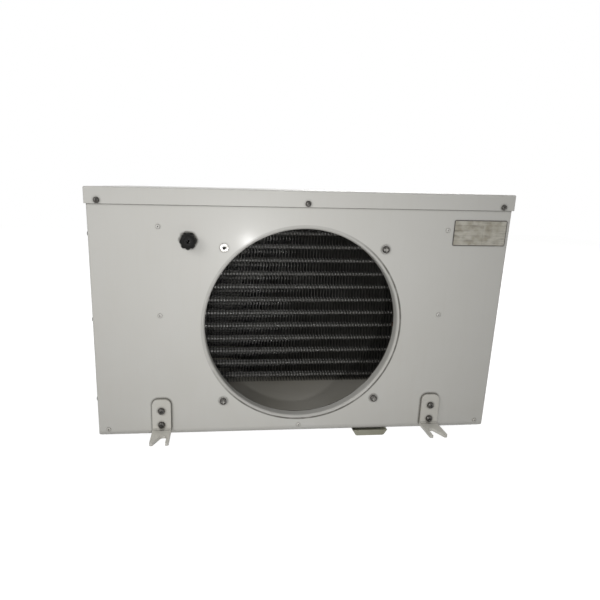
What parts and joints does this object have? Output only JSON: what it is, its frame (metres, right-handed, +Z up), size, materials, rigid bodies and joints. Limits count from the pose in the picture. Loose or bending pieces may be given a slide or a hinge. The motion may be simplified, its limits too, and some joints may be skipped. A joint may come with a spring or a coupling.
{
  "type": "walk-in unit cooler",
  "caption": "Box-shaped unit cooler with a round fan opening in front, a finned coil behind it, a double drain pan and slotted foot brackets.",
  "frame": {"origin": "middle of the face that it stands on, under the middle of the casing", "axes": "+Z up, +X to the right as seen from the fan side, the fan side faces -Y"},
  "size_m": [0.6172, 0.37, 0.3845],
  "materials": {
    "white_paint": "glossy warm white powder coat",
    "bracket_paint": "satin white paint",
    "pan_paint": "glossy grey paint",
    "pan_plastic": "olive grey moulded plastic",
    "foam": "closed-cell foam",
    "galvanised": "galvanised sheet",
    "fin_aluminium": "bare fin stock",
    "copper": "tube seen between the fins",
    "rubber": "matt black rubber",
    "black_plastic": "black nylon",
    "dark_zinc": "dark zinc-plated steel",
    "bright_zinc": "bright zinc-plated steel",
    "plate_metal": "printed aluminium, bare"
  },
  "bodies": {
    "cooler": {"front_panel": "white_paint", "rear_frame": "white_paint", "top_cover": "white_paint", "side_panel_right": "white_paint", "side_panel_left": "white_paint", "inner_pan": "pan_paint", "pan_insulation": "foam", "outer_pan": "pan_plastic", "drain_spout": "black_plastic", "drain_locknut": "black_plastic", "partition_right": "galvanised", "partition_left": "galvanised", "tube_sheet_right": "galvanised", "tube_sheet_left": "galvanised", "coil_fins": "fin_aluminium", "coil_tubes": "copper", "hairpin_bends": "copper", "return_bends": "copper", "liquid_manifold": "copper", "suction_header": "copper", "pipe_grommets": "rubber", "foot_bracket_front_right": "bracket_paint", "foot_bracket_front_left": "bracket_paint", "foot_bracket_rear_right": "bracket_paint", "foot_bracket_rear_left": "bracket_paint", "bracket_bolts": "dark_zinc", "bracket_nuts": "dark_zinc", "cover_screws": "dark_zinc", "fan_rivet_nuts": "bright_zinc", "fan_screws": "dark_zinc", "partition_rivets": "bright_zinc", "pan_rivets": "bright_zinc", "side_screws": "dark_zinc", "joint_rivets": "bright_zinc", "gland_body": "black_plastic", "gland_locknut": "black_plastic", "gland_seal": "rubber", "rating_plate": "plate_metal"},
    "clamping_nut": {"gland_nut": "black_plastic"}
  },
  "joints": [
    {"name": "gland_nut_turn", "type": "hinge", "parent": "cooler", "child": "clamping_nut", "pos_m": [-0.168, -0.155, 0.3125], "axis": [0, -1, 0], "range_deg": [0, 360]}
  ]
}
